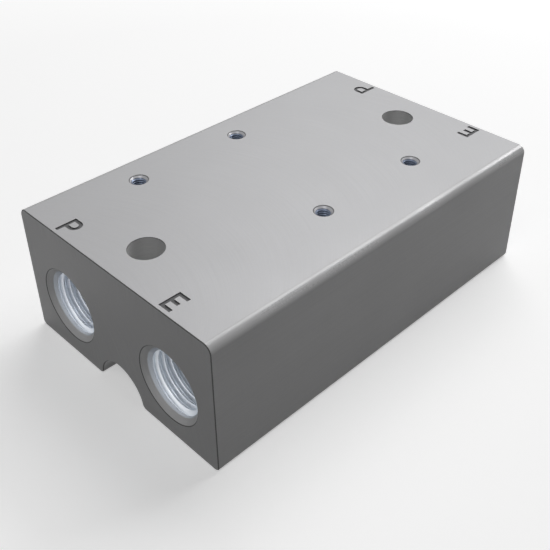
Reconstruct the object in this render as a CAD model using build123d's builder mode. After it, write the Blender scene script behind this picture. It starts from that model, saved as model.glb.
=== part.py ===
from math import radians, tan
import os

from build123d import *

# Two-station valve manifold block, in millimetres.
# X runs across the block, Y along it and Z up. The origin is the middle of the underside.

# The bar, and the valve stations that set its length
station_count = 2
station_pitch = 25.0            # from one valve to the next along the block
end_length = 17.0               # from an end face to the edge of the nearest station
block_width = 52.6
block_height = 27.5
block_length = station_count * station_pitch + 2 * end_length

# Rounded corners of the extruded section
top_edge_radius = 1.6
bottom_edge_radius = 1.0

# Half-round groove along the underside
groove_radius = 6.0
groove_lip_radius = 1.0

# Ports P and E, tapped G 1/4 at both end faces
port_spacing = 28.8             # from the P axis to the E axis
port_height = 11.3              # port axes above the underside
port_bore_radius = 5.72         # crest of the internal thread
port_drill_depth = 15.0         # full-width depth of the tapping drill
port_countersink_radius = 7.6
gallery_radius = 5.0            # passage that joins the two ports of one letter

# Cutting angles, each across the whole cone
countersink_angle = 90.0
drill_point_angle = 118.0

# Plain holes for the screws that hold the block down
mounting_hole_radius = 3.2
mounting_hole_inset = 8.5       # from the end face

# Tapped M3 outlets in the top face, one over each gallery at every station
outlet_bore_radius = 1.25
outlet_countersink_radius = 1.85
outlet_spacing_x = 32.0         # from the row over P to the row over E
outlet_spacing_y = 17.0         # along the block, between the two outlets of a station
outlet_offset_x = -2.65         # middle of each station's pair, from the centre line

# Lengths of the cones along their own axes
port_countersink_depth = (port_countersink_radius - port_bore_radius) / tan(radians(countersink_angle / 2))
drill_point_depth = (port_bore_radius - gallery_radius) / tan(radians(drill_point_angle / 2))

# Places along and across the block
end_face_y = block_length / 2
mounting_hole_y = end_face_y - mounting_hole_inset
station_centres = [(number - (station_count - 1) / 2) * station_pitch for number in range(station_count)]
outlet_row_p_x = outlet_offset_x - outlet_spacing_x / 2
outlet_row_e_x = outlet_offset_x + outlet_spacing_x / 2

os.makedirs("parts", exist_ok=True)

with BuildPart() as manifold_block:
    # Section of the bar, with the groove open to the underside
    with BuildSketch(Plane.XZ) as section:
        Rectangle(block_width, block_height, align=(Align.CENTER, Align.MIN))
        fillet(section.vertices().group_by(Axis.Y)[-1], radius=top_edge_radius)
        fillet(section.vertices().group_by(Axis.Y)[0], radius=bottom_edge_radius)
        Circle(groove_radius, mode=Mode.SUBTRACT)
        groove_lips = section.vertices().group_by(Axis.Y)[0].sort_by(lambda vertex: abs(vertex.X))[:2]
        fillet(groove_lips, radius=groove_lip_radius)
    extrude(amount=end_face_y, both=True)

    # Galleries, turned about the port axes: countersink, tapped bore, drill point, then the passage
    for port_x in (-port_spacing / 2, port_spacing / 2):
        port_axis = Axis((port_x, 0, port_height), (0, 1, 0))
        with BuildSketch(Plane(port_axis.position, x_dir=(0, 1, 0), z_dir=(1, 0, 0))):
            with BuildLine():
                Polyline(
                    (0, 0),
                    (0, gallery_radius),
                    (end_face_y - port_drill_depth - drill_point_depth, gallery_radius),
                    (end_face_y - port_drill_depth, port_bore_radius),
                    (end_face_y - port_countersink_depth, port_bore_radius),
                    (end_face_y, port_countersink_radius),
                    (end_face_y, 0),
                    close=True,
                )
            make_face()
            mirror(about=Plane.YZ)
        revolve(axis=port_axis, mode=Mode.SUBTRACT)

    # Holes drilled from the top face
    with Locations(Plane.XY.offset(block_height)):
        # Outlets, each down to the axis of the gallery below it
        for station_y in station_centres:
            with Locations(
                (outlet_row_p_x, station_y - outlet_spacing_y / 2),
                (outlet_row_e_x, station_y + outlet_spacing_y / 2),
            ):
                CounterSinkHole(
                    outlet_bore_radius,
                    outlet_countersink_radius,
                    depth=block_height - port_height,
                    counter_sink_angle=countersink_angle,
                )
        # Mounting holes, through into the groove
        with Locations((0, -mounting_hole_y), (0, mounting_hole_y)):
            Hole(mounting_hole_radius)

manifold_block.part.label = "manifold_block"
export_step(manifold_block.part, "parts/manifold_block.step")
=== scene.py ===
from math import asin, cos, degrees, pi, radians, sin, sqrt, tau

import bmesh
import bpy
from mathutils import Matrix, Vector


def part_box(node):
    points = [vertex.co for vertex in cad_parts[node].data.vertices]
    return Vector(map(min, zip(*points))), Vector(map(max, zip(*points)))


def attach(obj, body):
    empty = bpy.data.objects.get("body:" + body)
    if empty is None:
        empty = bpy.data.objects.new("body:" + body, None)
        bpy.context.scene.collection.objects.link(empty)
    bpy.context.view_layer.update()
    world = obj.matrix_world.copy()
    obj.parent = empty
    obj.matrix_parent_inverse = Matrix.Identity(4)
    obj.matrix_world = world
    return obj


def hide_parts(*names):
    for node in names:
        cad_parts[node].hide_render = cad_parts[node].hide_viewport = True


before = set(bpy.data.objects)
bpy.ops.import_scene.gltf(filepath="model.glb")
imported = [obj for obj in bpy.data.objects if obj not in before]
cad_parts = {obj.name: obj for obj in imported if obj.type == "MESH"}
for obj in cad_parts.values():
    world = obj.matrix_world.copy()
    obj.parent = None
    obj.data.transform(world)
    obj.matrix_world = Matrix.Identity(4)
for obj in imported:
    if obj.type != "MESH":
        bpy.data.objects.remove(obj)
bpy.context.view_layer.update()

mm = 0.001
weldGap = 0.0005            # mm, under which two corners are one
planeGap = 0.001            # mm, within which a face still lies in a plane
scene = bpy.context.scene
scene.view_settings.view_transform = "Standard"

low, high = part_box("manifold_block")
blockWidth, blockLength, blockHeight = [side / mm for side in high - low]
endY = blockLength / 2      # the end faces stand at this and at minus this
print(f"frame loaded, block {blockWidth:.1f} x {blockLength:.1f} x {blockHeight:.1f} mm")


# Finishes: colour, roughness from the smoothest to the roughest places, and the marks that the tools leave

finishes = {
    "extruded_skin_painted_darker": {              # sides, radii, underside and groove, with the die's lengthwise lines; coloured darker than the milled top, partly the extruded finish, partly painted shade
        "colour": (0.465, 0.465, 0.47, 1),
        "metallic": 0.2,
        "roughness": (0.40, 0.52),
        "marks": "along",
        "marksPerMm": 5,
        "markDepth": 0.003,
        "markTint": 0.035,
        "radiusRubAndHighlight": 0.18,       # how much the long radii and groove flanks are lightened: partly rubbed bright by handling, partly a painted highlight
    },
    "milled_top": {                 # valve face, skimmed with a face mill
        "colour": (0.50, 0.50, 0.51, 1),
        "metallic": 0.25,
        "roughness": (0.40, 0.50),
        "marks": "topArcs",
        "millRadius": 31.5,
        "marksPerMm": 4,
        "markDepth": 0.002,
        "markTint": 0.025,
    },
    "milled_end_painted_darker": {
        # end faces, milled like the top but coloured a little darker as painted shade
        "colour": (0.455, 0.455, 0.46, 1),
        "metallic": 0.2,
        "roughness": (0.42, 0.54),
        "marks": "endArcs",
        "millRadius": 25.0,
        "marksPerMm": 4,
        "markDepth": 0.003,
        "markTint": 0.04,
    },
    "countersink": {
        "colour": (0.54, 0.54, 0.54, 1),
        "metallic": 0.25,
        "roughness": (0.38, 0.50),
        "marks": "ringsY",
        "marksPerMm": 9,
        "markDepth": 0.003,
        "markTint": 0.05,
    },
    "drilled_hole_painted_lighter": {
        # lighter than the milled faces: partly bare drilled metal, partly painted light on the shaded hole
        # walls
        "colour": (0.72, 0.72, 0.72, 1),
        "metallic": 0.25,
        "roughness": (0.38, 0.50),
        "marks": "ringsZ",
        "marksPerMm": 6,
        "markDepth": 0.004,
        "markTint": 0.06,
    },
    "thread_lead": {                # cone on which the port's thread starts
        "colour": (0.50, 0.535, 0.585, 1),
        "metallic": 0.6,
        "roughness": (0.34, 0.44),
        "marks": "ringsY",
        "marksPerMm": 9,
        "markDepth": 0.003,
        "markTint": 0.05,
    },
    "port_thread_painted_lighter": {
        # near white: partly bright fresh-cut metal, partly painted light in the shaded bores
        "colour": (0.90, 0.94, 1.0, 1),
        "metallic": 0.85,
        "roughness": (0.36, 0.46),
        "marks": "ringsY",
        "marksPerMm": 12,
        "markDepth": 0.002,
        "markTint": 0.03,
    },
    "outlet_thread_painted_dark": {
        # dark blue-grey, painted shade inside the small tapped holes
        "colour": (0.22, 0.26, 0.35, 1),
        "metallic": 0.5,
        "roughness": (0.26, 0.36),
        "marks": "ringsZ",
        "marksPerMm": 12,
        "markDepth": 0.002,
        "markTint": 0.03,
    },
    "outlet_countersink": {
        # a little darker than the ports' countersinks, painted shade round the small holes
        "colour": (0.44, 0.44, 0.46, 1),
        "metallic": 0.5,
        "roughness": (0.30, 0.38),
        "marks": "ringsZ",
        "marksPerMm": 12,
        "markDepth": 0.002,
        "markTint": 0.04,
    },
    "filed_edge_painted_dark": {
        # near-black: painted dark shade lines along the ends' edges and round each hole mouth
        "colour": (0.15, 0.15, 0.15, 1),
        "metallic": 0.2,
        "roughness": (0.48, 0.60),
        "marks": "along",
        "marksPerMm": 9,
        "markDepth": 0.003,
        "markTint": 0.10,
    },
    "letter_fill": {
        "colour": (0.17, 0.17, 0.175, 1),
        "metallic": 0.0,
        "roughness": (0.55, 0.75),
        "marks": "speckle",
        "marksPerMm": 3,
        "markDepth": 0.010,
        "markTint": 0.12,
    },
}
grain = {                           # the same for every finish
    "specular": 0.25,
    "toolStretch": 80,              # how many times longer than wide a mark of a mill or drill is
    "alongStretch": 160,            # and one that runs along the block
    "markDetail": 3,
    "clouds": (70, 3),              # scale and detail of the slow changes in tone
    "specks": (2600, 2),            # and of the fine ones
    "shares": (0.5, 0.3, 0.2),      # of marks, clouds and specks in the tone
    "tintTones": (0.35, 0.65),      # tones at which the colour is darkest and lightest
    "glossTones": (0.3, 0.7),       # tones at which the surface is roughest and smoothest
}
rubAndHighlightSpread = {                        # where the radii's lightening falls, partly rubbing and partly a painted highlight
    "tilts": (0.05, 0.4),           # facing sideways times facing up or down, where it starts and is full
    "cloudTones": (0.35, 0.6),      # tones of the clouds where it is thinnest and fullest
    "thinnest": 0.5,                # share of it in its thinnest places
}


class Graph:
    # short words for laying nodes
    def __init__(self, material):
        material.use_nodes = True
        self.nodes, self.links = material.node_tree.nodes, material.node_tree.links

    def add(self, kind, **settings):
        node = self.nodes.new("ShaderNode" + kind)
        for name, value in settings.items():
            setattr(node, name, value)
        return node

    def feed(self, socket, value):
        if isinstance(value, bpy.types.NodeSocket):
            self.links.new(value, socket)
        else:
            socket.default_value = value

    def math(self, operation, first, second=0.0):
        node = self.add("Math", operation=operation)
        self.feed(node.inputs[0], first)
        self.feed(node.inputs[1], second)
        return node.outputs[0]

    def noise(self, vector, scale, detail):
        node = self.add("TexNoise")
        self.feed(node.inputs["Vector"], vector)
        node.inputs["Scale"].default_value = scale
        node.inputs["Detail"].default_value = detail
        return node.outputs["Fac"]

    def span(self, value, toLow, toHigh, fromLow=0.0, fromHigh=1.0):
        node = self.add("MapRange")
        for socket, setting in zip(node.inputs, (value, fromLow, fromHigh, toLow, toHigh)):
            self.feed(socket, setting)
        return node.outputs["Result"]


def markSpace(graph, place, finish):
    # coordinates in which plain noise turns into that tool's marks
    fine = finish["marksPerMm"] / mm
    slow = fine / grain["toolStretch"]
    stretches = {
        "along": (fine, fine / grain["alongStretch"], fine),
        "ringsY": (slow, fine, slow),
        "ringsZ": (slow, slow, fine),
        "speckle": (fine, fine, fine),
    }
    if finish["marks"] in stretches:
        stretch = graph.add("Mapping")
        graph.feed(stretch.inputs["Vector"], place)
        stretch.inputs["Scale"].default_value = stretches[finish["marks"]]
        return stretch.outputs["Vector"]
    # feed marks of a face mill: circles of its radius, one after another along its travel
    parts = graph.add("SeparateXYZ")
    graph.feed(parts.inputs[0], place)
    across, travel = ("X", "Y") if finish["marks"] == "topArcs" else ("Z", "X")
    radiusSquared = (finish["millRadius"] * mm) ** 2
    offsetSquared = graph.math("POWER", parts.outputs[across], 2)
    sweep = graph.math("SQRT", graph.math("SUBTRACT", radiusSquared, offsetSquared))
    line = graph.math("SUBTRACT", parts.outputs[travel], sweep)
    arcs = graph.add("CombineXYZ")
    graph.feed(arcs.inputs[0], graph.math("MULTIPLY", line, fine))
    graph.feed(arcs.inputs[1], graph.math("MULTIPLY", parts.outputs[across], slow))
    return arcs.outputs[0]


def makeFinish(name):
    finish = finishes[name]
    material = bpy.data.materials.new(name)
    graph = Graph(material)
    shader = graph.nodes["Principled BSDF"]
    shader.inputs["Metallic"].default_value = finish["metallic"]
    shader.inputs["Specular IOR Level"].default_value = grain["specular"]
    place = graph.add("TexCoord")

    marks = graph.noise(markSpace(graph, place.outputs["Object"], finish), 1, grain["markDetail"])
    clouds = graph.noise(place.outputs["Object"], *grain["clouds"])
    specks = graph.noise(place.outputs["Object"], *grain["specks"])
    layers = zip((marks, clouds, specks), grain["shares"])
    markPart, cloudPart, speckPart = [graph.math("MULTIPLY", layer, share) for layer, share in layers]
    tone = graph.math("ADD", graph.math("ADD", markPart, cloudPart), speckPart)

    ramp = graph.add("ValToRGB")
    graph.feed(ramp.inputs["Fac"], tone)
    red, green, blue, alpha = finish["colour"]
    lifts = (1 - finish["markTint"], 1 + finish["markTint"])
    for stop, position, lift in zip(ramp.color_ramp.elements, grain["tintTones"], lifts):
        stop.position = position
        stop.color = (red * lift, green * lift, blue * lift, alpha)
    colour = ramp.outputs["Color"]
    smoothest, roughest = finish["roughness"]
    roughness = graph.span(tone, roughest, smoothest, *grain["glossTones"])

    if "radiusRubAndHighlight" in finish:
        # radii and groove flanks are where the surface faces sideways and also up or down
        facing = graph.add("SeparateXYZ")
        graph.feed(facing.inputs[0], place.outputs["Normal"])
        tilt = graph.math("ABSOLUTE", graph.math("MULTIPLY", facing.outputs["X"], facing.outputs["Z"]))
        onRadius = graph.span(tilt, 0, 1, *rubAndHighlightSpread["tilts"])
        patches = graph.span(clouds, rubAndHighlightSpread["thinnest"], 1, *rubAndHighlightSpread["cloudTones"])
        rubAndHighlightMask = graph.math("MULTIPLY", onRadius, patches)
        # lighter colour and smoother gloss on the radii: partly rubbed bright, partly a painted highlight
        rubAndHighlightMix = graph.add("Mix", data_type="RGBA", blend_type="MULTIPLY")
        graph.feed(rubAndHighlightMix.inputs["Factor"], rubAndHighlightMask)
        graph.feed(rubAndHighlightMix.inputs["A"], colour)
        rubAndHighlightMix.inputs["B"].default_value = [1 + finish["radiusRubAndHighlight"]] * 3 + [1]
        colour = rubAndHighlightMix.outputs["Result"]
        roughness = graph.math("SUBTRACT", roughness, graph.math("MULTIPLY", rubAndHighlightMask, finish["radiusRubAndHighlight"]))

    graph.feed(shader.inputs["Base Color"], colour)
    graph.feed(shader.inputs["Roughness"], roughness)
    bump = graph.add("Bump")
    bump.inputs["Distance"].default_value = finish["markDepth"] * mm
    graph.feed(bump.inputs["Height"], marks)
    graph.feed(shader.inputs["Normal"], bump.outputs["Normal"])
    return material


metal = {name: makeFinish(name) for name in finishes}
print(len(metal), "finishes mixed")


# The bar, lengths in mm until the block is done

bar = {
    "topRadius": 1.6,
    "bottomRadius": 1.0,
    "grooveRadius": 6.0,
    "lipRadius": 1.0,
    "edgeBreak": 0.15,      # file stroke round each end
    "cornerSteps": 10,
    "grooveSteps": 40,
}


def arc(x, z, radius, start, end, steps):
    turns = [radians(start + (end - start) * step / steps) for step in range(steps + 1)]
    return [(x + radius * cos(turn), z + radius * sin(turn)) for turn in turns]


def section(inset):
    # outline of the extrusion, drawn in by inset, from the right groove lip and anticlockwise
    side, steps, groove = blockWidth / 2, bar["cornerSteps"], bar["grooveRadius"]
    lip, foot, crown = bar["lipRadius"], bar["bottomRadius"], bar["topRadius"]
    lipX = sqrt((groove + lip) ** 2 - lip ** 2)
    lipAngle = degrees(asin(lip / (groove + lip)))
    outline = arc(lipX, lip, lip - inset, 180 + lipAngle, 270, steps)
    outline += arc(side - foot, foot, foot - inset, 270, 360, steps)
    outline += arc(side - crown, blockHeight - crown, crown - inset, 0, 90, steps)
    outline += arc(crown - side, blockHeight - crown, crown - inset, 90, 180, steps)
    outline += arc(foot - side, foot, foot - inset, 180, 270, steps)
    outline += arc(-lipX, lip, lip - inset, 270, 360 - lipAngle, steps)
    outline += arc(0, 0, groove + inset, 180 - lipAngle, lipAngle, bar["grooveSteps"])[1:-1]
    return outline


def solid(name, mesh, *finishNames):
    data = bpy.data.meshes.new(name)
    bmesh.ops.recalc_face_normals(mesh, faces=mesh.faces)
    mesh.to_mesh(data)
    mesh.free()
    for finish in finishNames:
        data.materials.append(metal[finish])
    piece = bpy.data.objects.new(name, data)
    scene.collection.objects.link(piece)
    return piece


def band(mesh, near, far):
    # skin between two rings of the same number of corners
    for corner in range(len(near)):
        after = (corner + 1) % len(near)
        mesh.faces.new((near[corner], near[after], far[after], far[corner]))


def loft(mesh, rings):
    # a band from each ring to the next, and a cap at each end
    rows = [[mesh.verts.new(point) for point in ring] for ring in rings]
    for near, far in zip(rows, rows[1:]):
        band(mesh, near, far)
    mesh.faces.new(rows[0])
    mesh.faces.new(rows[-1])


def makeBar():
    mesh = bmesh.new()
    stroke, rings = bar["edgeBreak"], []
    for y, inset in ((-endY, stroke), (stroke - endY, 0), (endY - stroke, 0), (endY, stroke)):
        rings.append([(x, y, z) for x, z in section(inset)])
    loft(mesh, rings)
    finishNames = ("extruded_skin_painted_darker", "milled_end_painted_darker", "filed_edge_painted_dark", "milled_top")
    for face in mesh.faces:
        middle = face.calc_center_median()
        if abs(middle.y) > endY - planeGap:
            face.material_index = finishNames.index("milled_end_painted_darker")
        elif abs(middle.y) > endY - stroke:
            face.material_index = finishNames.index("filed_edge_painted_dark")
        elif middle.z > blockHeight - planeGap:
            face.material_index = finishNames.index("milled_top")
    return solid("manifold_bar", mesh, *finishNames)


manifold = makeBar()
print("bar lofted,", len(manifold.data.polygons), "faces")


# Tapping: the rows of the tool run on the helix, so that crests and roots stay clean

portTap = {
    "boreRadius": 5.72,
    "rootRadius": 6.58,
    "pitch": 1.337,
    "outside": 1.54,        # turns of the tap that stay outside the face
    "runIn": 0.5,           # turns over which the thread starts, half of them outside
    "threaded": 11.4,       # full thread, from the face
    "runOut": 1.6,          # turns over which the tap's taper lets the thread die
    "drilled": 15.0,
    "galleryRadius": 5.0,
    "pointDepth": 0.433,    # length of the drill's point, down to the gallery
    "countersinkRadius": 7.6,
    "leadRadius": 6.62,     # where the countersink meets the tap's lead
    "leadDepth": 1.95,
    "leadOverlap": 0.05,    # how far the lead's cutter ends inside the bore
    "mouthBreak": 0.14,
    "spacing": 28.8,
    "height": 11.3,
    "columns": 72,
    "coneColumns": 96,
}
outletTap = {
    "boreRadius": 1.25,
    "rootRadius": 1.53,
    "pitch": 0.5,
    "outside": 1.04,
    "runIn": 0.5,
    "threaded": 7.0,
    "runOut": 2.0,
    "drilled": 16.2,
    "countersinkRadius": 1.85,
    "coneDepth": 0.75,      # deep enough for the countersink's cutter to end inside the bore
    "mouthBreak": 0.16,
    "places": ((-18.65, -21.0), (-18.65, 4.0), (13.35, -4.0), (13.35, 21.0)),
    "columns": 32,
    "coneColumns": 48,
}
# one turn of thread form as (share of pitch, share of depth), rounded at crest and root
threadForm = (
    (0.0, 0.0), (0.07, 0.03), (0.125, 0.13), (0.375, 0.87), (0.43, 0.97),
    (0.50, 1.0), (0.57, 0.97), (0.625, 0.87), (0.875, 0.13), (0.93, 0.03),
)


def onTool(toolPlace, depth, radius, turn):
    return toolPlace @ Vector((radius * cos(turn), radius * sin(turn), depth))


def circle(toolPlace, depth, radius, columns):
    return [onTool(toolPlace, depth, radius, tau * column / columns) for column in range(columns)]


def progress(value, start, end):
    # 0 before the start, 1 past the end and even in between
    return min(max((value - start) / (end - start), 0), 1)


def tap(mesh, toolPlace, thread, beyond):
    # helical tool from outside the face to the drill's depth, then the rings in beyond, as (depth, radius)
    columns, rowsPerTurn = thread["columns"], len(threadForm)
    pitch, boreRadius = thread["pitch"], thread["boreRadius"]
    startDepth, halfIn = -thread["outside"] * pitch, pitch * thread["runIn"] / 2
    died = thread["threaded"] + pitch * thread["runOut"]

    def helixPoint(row, column):
        winding, step = divmod(row, rowsPerTurn)
        along, rise = threadForm[step]
        depth = startDepth + pitch * (winding + along + column / columns)
        entering = progress(depth, -halfIn, halfIn)
        leaving = progress(depth, died, thread["threaded"])
        height = (thread["rootRadius"] - boreRadius) * rise * entering * leaving
        return mesh.verts.new(onTool(toolPlace, depth, boreRadius + height, tau * column / columns))

    def flatRing(depth, radius):
        return [mesh.verts.new(point) for point in circle(toolPlace, depth, radius, columns)]

    lastRow = 0
    while startDepth + pitch * lastRow / rowsPerTurn < died:
        lastRow += 1
    grid = [[helixPoint(row, column) for column in range(columns)] for row in range(lastRow + 1)]
    seam = [row[0] for row in grid] + [helixPoint(lastRow + step, 0) for step in range(1, rowsPerTurn + 1)]

    def at(row, column):
        # after the last column a row goes on in the first one, a turn further down
        return grid[row][column] if column < columns else seam[row + rowsPerTurn]

    for row in range(lastRow):
        below = row + 1
        for column in range(columns):
            after = column + 1
            mesh.faces.new((at(row, column), at(row, after), at(below, after), at(below, column)))
    # flat ring outside the face closes the first turn
    lip = flatRing(startDepth - pitch, boreRadius)
    mesh.faces.new(lip)
    for column in range(columns - 1):
        mesh.faces.new((lip[column], lip[column + 1], grid[0][column + 1], grid[0][column]))
    mesh.faces.new([lip[-1], lip[0]] + seam[:rowsPerTurn + 1] + [grid[0][-1]])
    # and a flat ring at the drill's depth closes the last
    near = flatRing(thread["drilled"], boreRadius)
    for column in range(1, columns):
        after = (column + 1) % columns
        mesh.faces.new((at(lastRow, column), at(lastRow, column + 1), near[after], near[column]))
    mesh.faces.new([grid[lastRow][1], near[1], near[0]] + seam[lastRow:][::-1])
    for depth, radius in beyond:
        far = flatRing(depth, radius)
        band(mesh, near, far)
        near = far
    return near


def turned(mesh, toolPlace, profile, columns):
    # solid of revolution about the tool's axis, from its profile as (depth, radius)
    # the bands have the tool's finishes in their order
    known = len(mesh.faces)
    loft(mesh, [circle(toolPlace, depth, radius, columns) for depth, radius in profile])
    mesh.faces.ensure_lookup_table()
    for number in range(len(profile) - 1):
        for face in mesh.faces[known + number * columns:known + (number + 1) * columns]:
            face.material_index = number


brokenMouth = {
    "down": 0.7,            # share of the stroke's width that goes down a countersink
    "out": 0.5,             # and out over the face
    "proud": 0.4,           # mm that the cutters stand out of the face
}


def mouth(depth, inside, outside):
    # start of a profile: broken edge from the outside radius at the face to the inside one at that depth
    flare = (outside - inside) / depth
    return (-brokenMouth["proud"], outside + brokenMouth["proud"] * flare), (depth, inside)


def countersunkMouth(radius, width):
    # the same round a countersink, whose radius shrinks by its depth
    depth = brokenMouth["down"] * width
    return mouth(depth, radius - depth, radius + brokenMouth["out"] * width)


def aim(place, across, up, into):
    rotation = Matrix((across, up, into)).transposed().to_4x4()
    return Matrix.Translation(place) @ rotation


def fromTop(x, y):
    return aim((x, y, blockHeight), (1, 0, 0), (0, -1, 0), (0, 0, -1))


def cut(block, tool):
    knife = block.modifiers.new("cut", "BOOLEAN")
    knife.operation = "DIFFERENCE"
    knife.solver = "MANIFOLD"
    knife.material_mode = "TRANSFER"
    knife.object = tool
    bpy.context.view_layer.update()
    result = bpy.data.meshes.new_from_object(block.evaluated_get(bpy.context.evaluated_depsgraph_get()))
    block.modifiers.clear()
    block.data = result
    bpy.data.objects.remove(tool)


def cutPorts(block):
    # each gallery is tapped from both ends, and the two halves are joined where they meet
    galleries, countersinks = bmesh.new(), bmesh.new()
    drillPoint = (portTap["drilled"] + portTap["pointDepth"], portTap["galleryRadius"])
    faceRadius, leadRadius = portTap["countersinkRadius"], portTap["leadRadius"]
    leadEnd = (portTap["leadDepth"], portTap["boreRadius"] - portTap["leadOverlap"])
    cone = countersunkMouth(faceRadius, portTap["mouthBreak"])
    profile = (*cone, (faceRadius - leadRadius, leadRadius), leadEnd)
    for side in (-1, 1):
        x = side * portTap["spacing"] / 2
        for end in (-1, 1):
            toolPlace = aim((x, end * endY, portTap["height"]), (-end, 0, 0), (0, 0, -1), (0, -end, 0))
            tap(galleries, toolPlace, portTap, (drillPoint, (endY, portTap["galleryRadius"])))
            turned(countersinks, toolPlace, profile, portTap["coneColumns"])
    bmesh.ops.remove_doubles(galleries, verts=galleries.verts, dist=weldGap)
    cut(block, solid("galleries", galleries, "port_thread_painted_lighter"))
    cut(block, solid("countersinks", countersinks, "filed_edge_painted_dark", "countersink", "thread_lead"))


cutPorts(manifold)
print("ports tapped,", len(manifold.data.polygons), "faces")


def cutOutlets(block):
    drills, countersinks = bmesh.new(), bmesh.new()
    faceRadius, depth = outletTap["countersinkRadius"], outletTap["coneDepth"]
    profile = (*countersunkMouth(faceRadius, outletTap["mouthBreak"]), (depth, faceRadius - depth))
    for x, y in outletTap["places"]:
        drills.faces.new(tap(drills, fromTop(x, y), outletTap, ()))
        turned(countersinks, fromTop(x, y), profile, outletTap["coneColumns"])
    cut(block, solid("outlets", drills, "outlet_thread_painted_dark"))
    cut(block, solid("outlet_countersinks", countersinks, "filed_edge_painted_dark", "outlet_countersink"))


cutOutlets(manifold)
print("outlets tapped,", len(manifold.data.polygons), "faces")

mountingDrill = {
    "radius": 3.2,
    "inset": 8.5,           # from the end face to the axis
    "mouthBreak": 0.12,
    "columns": 64,
}


def cutMountingHoles(block):
    drills = bmesh.new()
    radius, stroke = mountingDrill["radius"], mountingDrill["mouthBreak"]
    profile = (*mouth(stroke, radius, radius + stroke), (blockHeight, radius))
    for end in (-1, 1):
        toolPlace = fromTop(0, end * (endY - mountingDrill["inset"]))
        turned(drills, toolPlace, profile, mountingDrill["columns"])
    cut(block, solid("mounting_drills", drills, "filed_edge_painted_dark", "drilled_hole_painted_lighter"))


cutMountingHoles(manifold)
print("mounting holes drilled,", len(manifold.data.polygons), "faces")


# Port letters, engraved over each port with their feet to the nearer end

letters = {
    "height": 4.35,
    "stroke": 0.74,
    "widthP": 3.15,
    "widthE": 2.65,
    "bowl": 2.8,            # height of the P's bowl
    "middleArm": 2.35,      # length of the E's middle arm
    "foot": 0.85,           # from the end edge to the foot of a letter
    "depth": 0.22,
    "steps": 16,
}


def outlineP():
    height, stroke, steps = letters["height"], letters["stroke"], letters["steps"]
    width, bowl = letters["widthP"], letters["bowl"]
    reach, middle = width - bowl / 2, height - bowl / 2
    outside = [(0, 0), (stroke, 0), (stroke, height - bowl)]
    outside += arc(reach, middle, bowl / 2, -90, 90, steps) + [(0, height)]
    inside = [(stroke, height - bowl + stroke)]
    inside += arc(reach, middle, bowl / 2 - stroke, -90, 90, steps) + [(stroke, height - stroke)]
    return width, [outside, inside]


def outlineE():
    height, stroke = letters["height"], letters["stroke"]
    width, arm = letters["widthE"], letters["middleArm"]
    under, over = (height - stroke) / 2, (height + stroke) / 2
    outline = [(0, 0), (width, 0), (width, stroke), (stroke, stroke)]
    outline += [(stroke, under), (arm, under), (arm, over), (stroke, over)]
    outline += [(stroke, height - stroke), (width, height - stroke), (width, height), (0, height)]
    return width, [outline]


def engrave(block):
    # each tool stands as high over the face as it cuts down into it
    tools = bmesh.new()
    for side, (width, outlines) in ((-1, outlineP()), (1, outlineE())):
        for end in (-1, 1):
            x, y = side * portTap["spacing"] / 2, end * (endY - letters["foot"])
            turn = Matrix.Rotation(0 if end < 0 else pi, 4, "Z")
            letterPlace = Matrix.Translation((x, y, blockHeight - letters["depth"])) @ turn
            letterPlace = letterPlace @ Matrix.Translation((-width / 2, 0, 0))
            edges = []
            for outline in outlines:
                corners = [tools.verts.new(letterPlace @ Vector((across, up, 0))) for across, up in outline]
                for corner, after in zip(corners, corners[1:] + corners[:1]):
                    edges.append(tools.edges.new((corner, after)))
            flat = bmesh.ops.triangle_fill(tools, edges=edges, use_beauty=True, use_dissolve=False)["geom"]
            faces = [item for item in flat if isinstance(item, bmesh.types.BMFace)]
            raised = bmesh.ops.extrude_face_region(tools, geom=faces, use_keep_orig=True)["geom"]
            lifted = [item for item in raised if isinstance(item, bmesh.types.BMVert)]
            bmesh.ops.translate(tools, verts=lifted, vec=(0, 0, 2 * letters["depth"]))
    cut(block, solid("letter_tools", tools, "letter_fill"))


engrave(manifold)
print("letters engraved,", len(manifold.data.polygons), "faces")

shading = {
    "sharpFrom": 38,        # degrees between two faces
    "areaWeight": 100,      # how much the large faces steer the normals, at most 100
}


def finishBlock(block):
    # slivers that the cuts leave are closed up first
    mesh = bmesh.new()
    mesh.from_mesh(block.data)
    bmesh.ops.remove_doubles(mesh, verts=mesh.verts, dist=weldGap)
    bmesh.ops.dissolve_degenerate(mesh, edges=mesh.edges, dist=weldGap)
    mesh.to_mesh(block.data)
    mesh.free()
    block.data.transform(Matrix.Scale(mm, 4))
    block.data.shade_smooth()
    block.data.set_sharp_from_angle(angle=radians(shading["sharpFrom"]))
    weigh = block.modifiers.new("weighted_normals", "WEIGHTED_NORMAL")
    weigh.keep_sharp = True
    weigh.weight = shading["areaWeight"]
    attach(block, "root")
    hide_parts("manifold_block")


finishBlock(manifold)
print("block finished")


# Stage, lights and camera, in metres

stage = {
    "floorSize": 6.0,
    "floorCells": 8,
    "paper": (0.82, 0.82, 0.82, 1),
    "bounce": (0.06, 0.06, 0.06, 1),    # darker paper where the block is lit by it from below
    "glow": (0.45, 1.0),                # added brightness, near the block and far off
    "fade": (0.15, 1.1),                # metres over which the one turns into the other
    "white": (1, 1, 1, 1),
    "ambient": 0.04,                    # strength of the world on the block
    "backdrop": 1,                      # and where it shows
    "lampAim": (0, 0, 0.01),
}


def seenRays(graph):
    # 1 for what the camera sees, straight or in metal and glass
    path = graph.add("LightPath")
    total = path.outputs["Is Camera Ray"]
    for kind in ("Is Glossy Ray", "Is Transmission Ray"):
        total = graph.math("MAXIMUM", total, path.outputs[kind])
    return total


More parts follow.
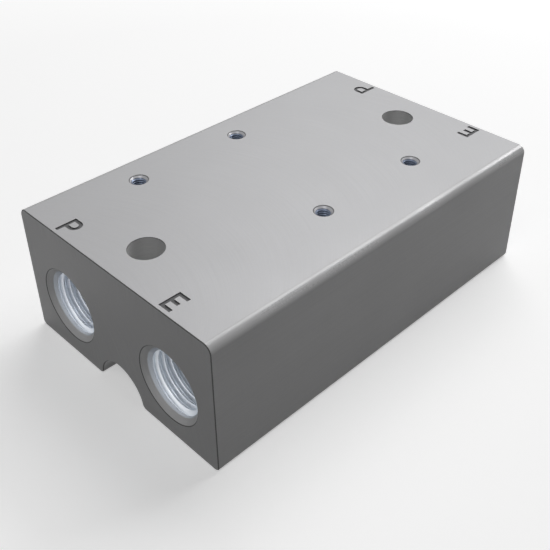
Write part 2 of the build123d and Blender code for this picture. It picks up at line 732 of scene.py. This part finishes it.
def makeFloor():
    mesh = bmesh.new()
    cells = stage["floorCells"]
    bmesh.ops.create_grid(mesh, x_segments=cells, y_segments=cells, size=stage["floorSize"] / 2)
    floor = solid("floor", mesh)
    material = bpy.data.materials.new("studio_paper")
    graph = Graph(material)
    graph.nodes.remove(graph.nodes["Principled BSDF"])
    seen, dim, glow = graph.add("BsdfDiffuse"), graph.add("BsdfDiffuse"), graph.add("Emission")
    seen.inputs["Color"].default_value = stage["paper"]
    dim.inputs["Color"].default_value = stage["bounce"]
    glow.inputs["Color"].default_value = stage["white"]
    away = graph.add("VectorMath", operation="LENGTH")
    graph.feed(away.inputs[0], graph.add("TexCoord").outputs["Object"])
    graph.feed(glow.inputs["Strength"], graph.span(away.outputs["Value"], *stage["glow"], *stage["fade"]))
    lit, pick = graph.add("AddShader"), graph.add("MixShader")
    graph.feed(lit.inputs[0], seen.outputs[0])
    graph.feed(lit.inputs[1], glow.outputs[0])
    graph.feed(pick.inputs["Fac"], seenRays(graph))
    graph.feed(pick.inputs[1], dim.outputs[0])
    graph.feed(pick.inputs[2], lit.outputs[0])
    graph.feed(graph.nodes["Material Output"].inputs["Surface"], pick.outputs[0])
    floor.data.materials.append(material)


def makeWorld():
    world = bpy.data.worlds.new("studio")
    scene.world = world
    graph = Graph(world)
    fill, backdrop = graph.nodes["Background"], graph.add("Background")
    for light, strength in ((fill, stage["ambient"]), (backdrop, stage["backdrop"])):
        light.inputs["Color"].default_value = stage["white"]
        light.inputs["Strength"].default_value = strength
    pick = graph.add("MixShader")
    graph.feed(pick.inputs["Fac"], seenRays(graph))
    graph.feed(pick.inputs[1], fill.outputs[0])
    graph.feed(pick.inputs[2], backdrop.outputs[0])
    graph.feed(graph.nodes["World Output"].inputs["Surface"], pick.outputs[0])


def standAt(holder, place, aimPoint):
    scene.collection.objects.link(holder)
    holder.location = place
    holder.rotation_euler = (Vector(aimPoint) - Vector(place)).to_track_quat("-Z", "Y").to_euler()


softboxes = {
    "key": {"place": (-0.27, 0.50, 0.78), "size": (0.6, 0.6), "watts": 3.8},
    "rim": {"place": (0.08, 0.60, 0.52), "size": (0.3, 0.25), "watts": 1.3},
    "fill": {"place": (0.18, -0.35, 0.72), "size": (0.3, 0.3), "watts": 0.65},
}


def makeSoftbox(name):
    softbox = softboxes[name]
    lamp = bpy.data.lights.new(name, "AREA")
    lamp.shape = "RECTANGLE"
    lamp.size, lamp.size_y = softbox["size"]
    lamp.energy = softbox["watts"]
    standAt(bpy.data.objects.new(name, lamp), softbox["place"], stage["lampAim"])


camera = {
    "place": (0.098536, -0.098536, 0.11228),
    "aimPoint": (0, 0, 0.01375),
    "lens": 55.68,
    "sensor": 36,
    "shift": (-0.0213, -0.0749),
    "nearClip": 0.005,
}


def makeCamera():
    data = bpy.data.cameras.new("camera")
    data.lens = camera["lens"]
    data.sensor_width = camera["sensor"]
    data.shift_x, data.shift_y = camera["shift"]
    data.clip_start = camera["nearClip"]
    holder = bpy.data.objects.new("camera", data)
    standAt(holder, camera["place"], camera["aimPoint"])
    scene.camera = holder


makeFloor()
makeWorld()
for lampName in softboxes:
    makeSoftbox(lampName)
makeCamera()
print("stage, lights and camera set")
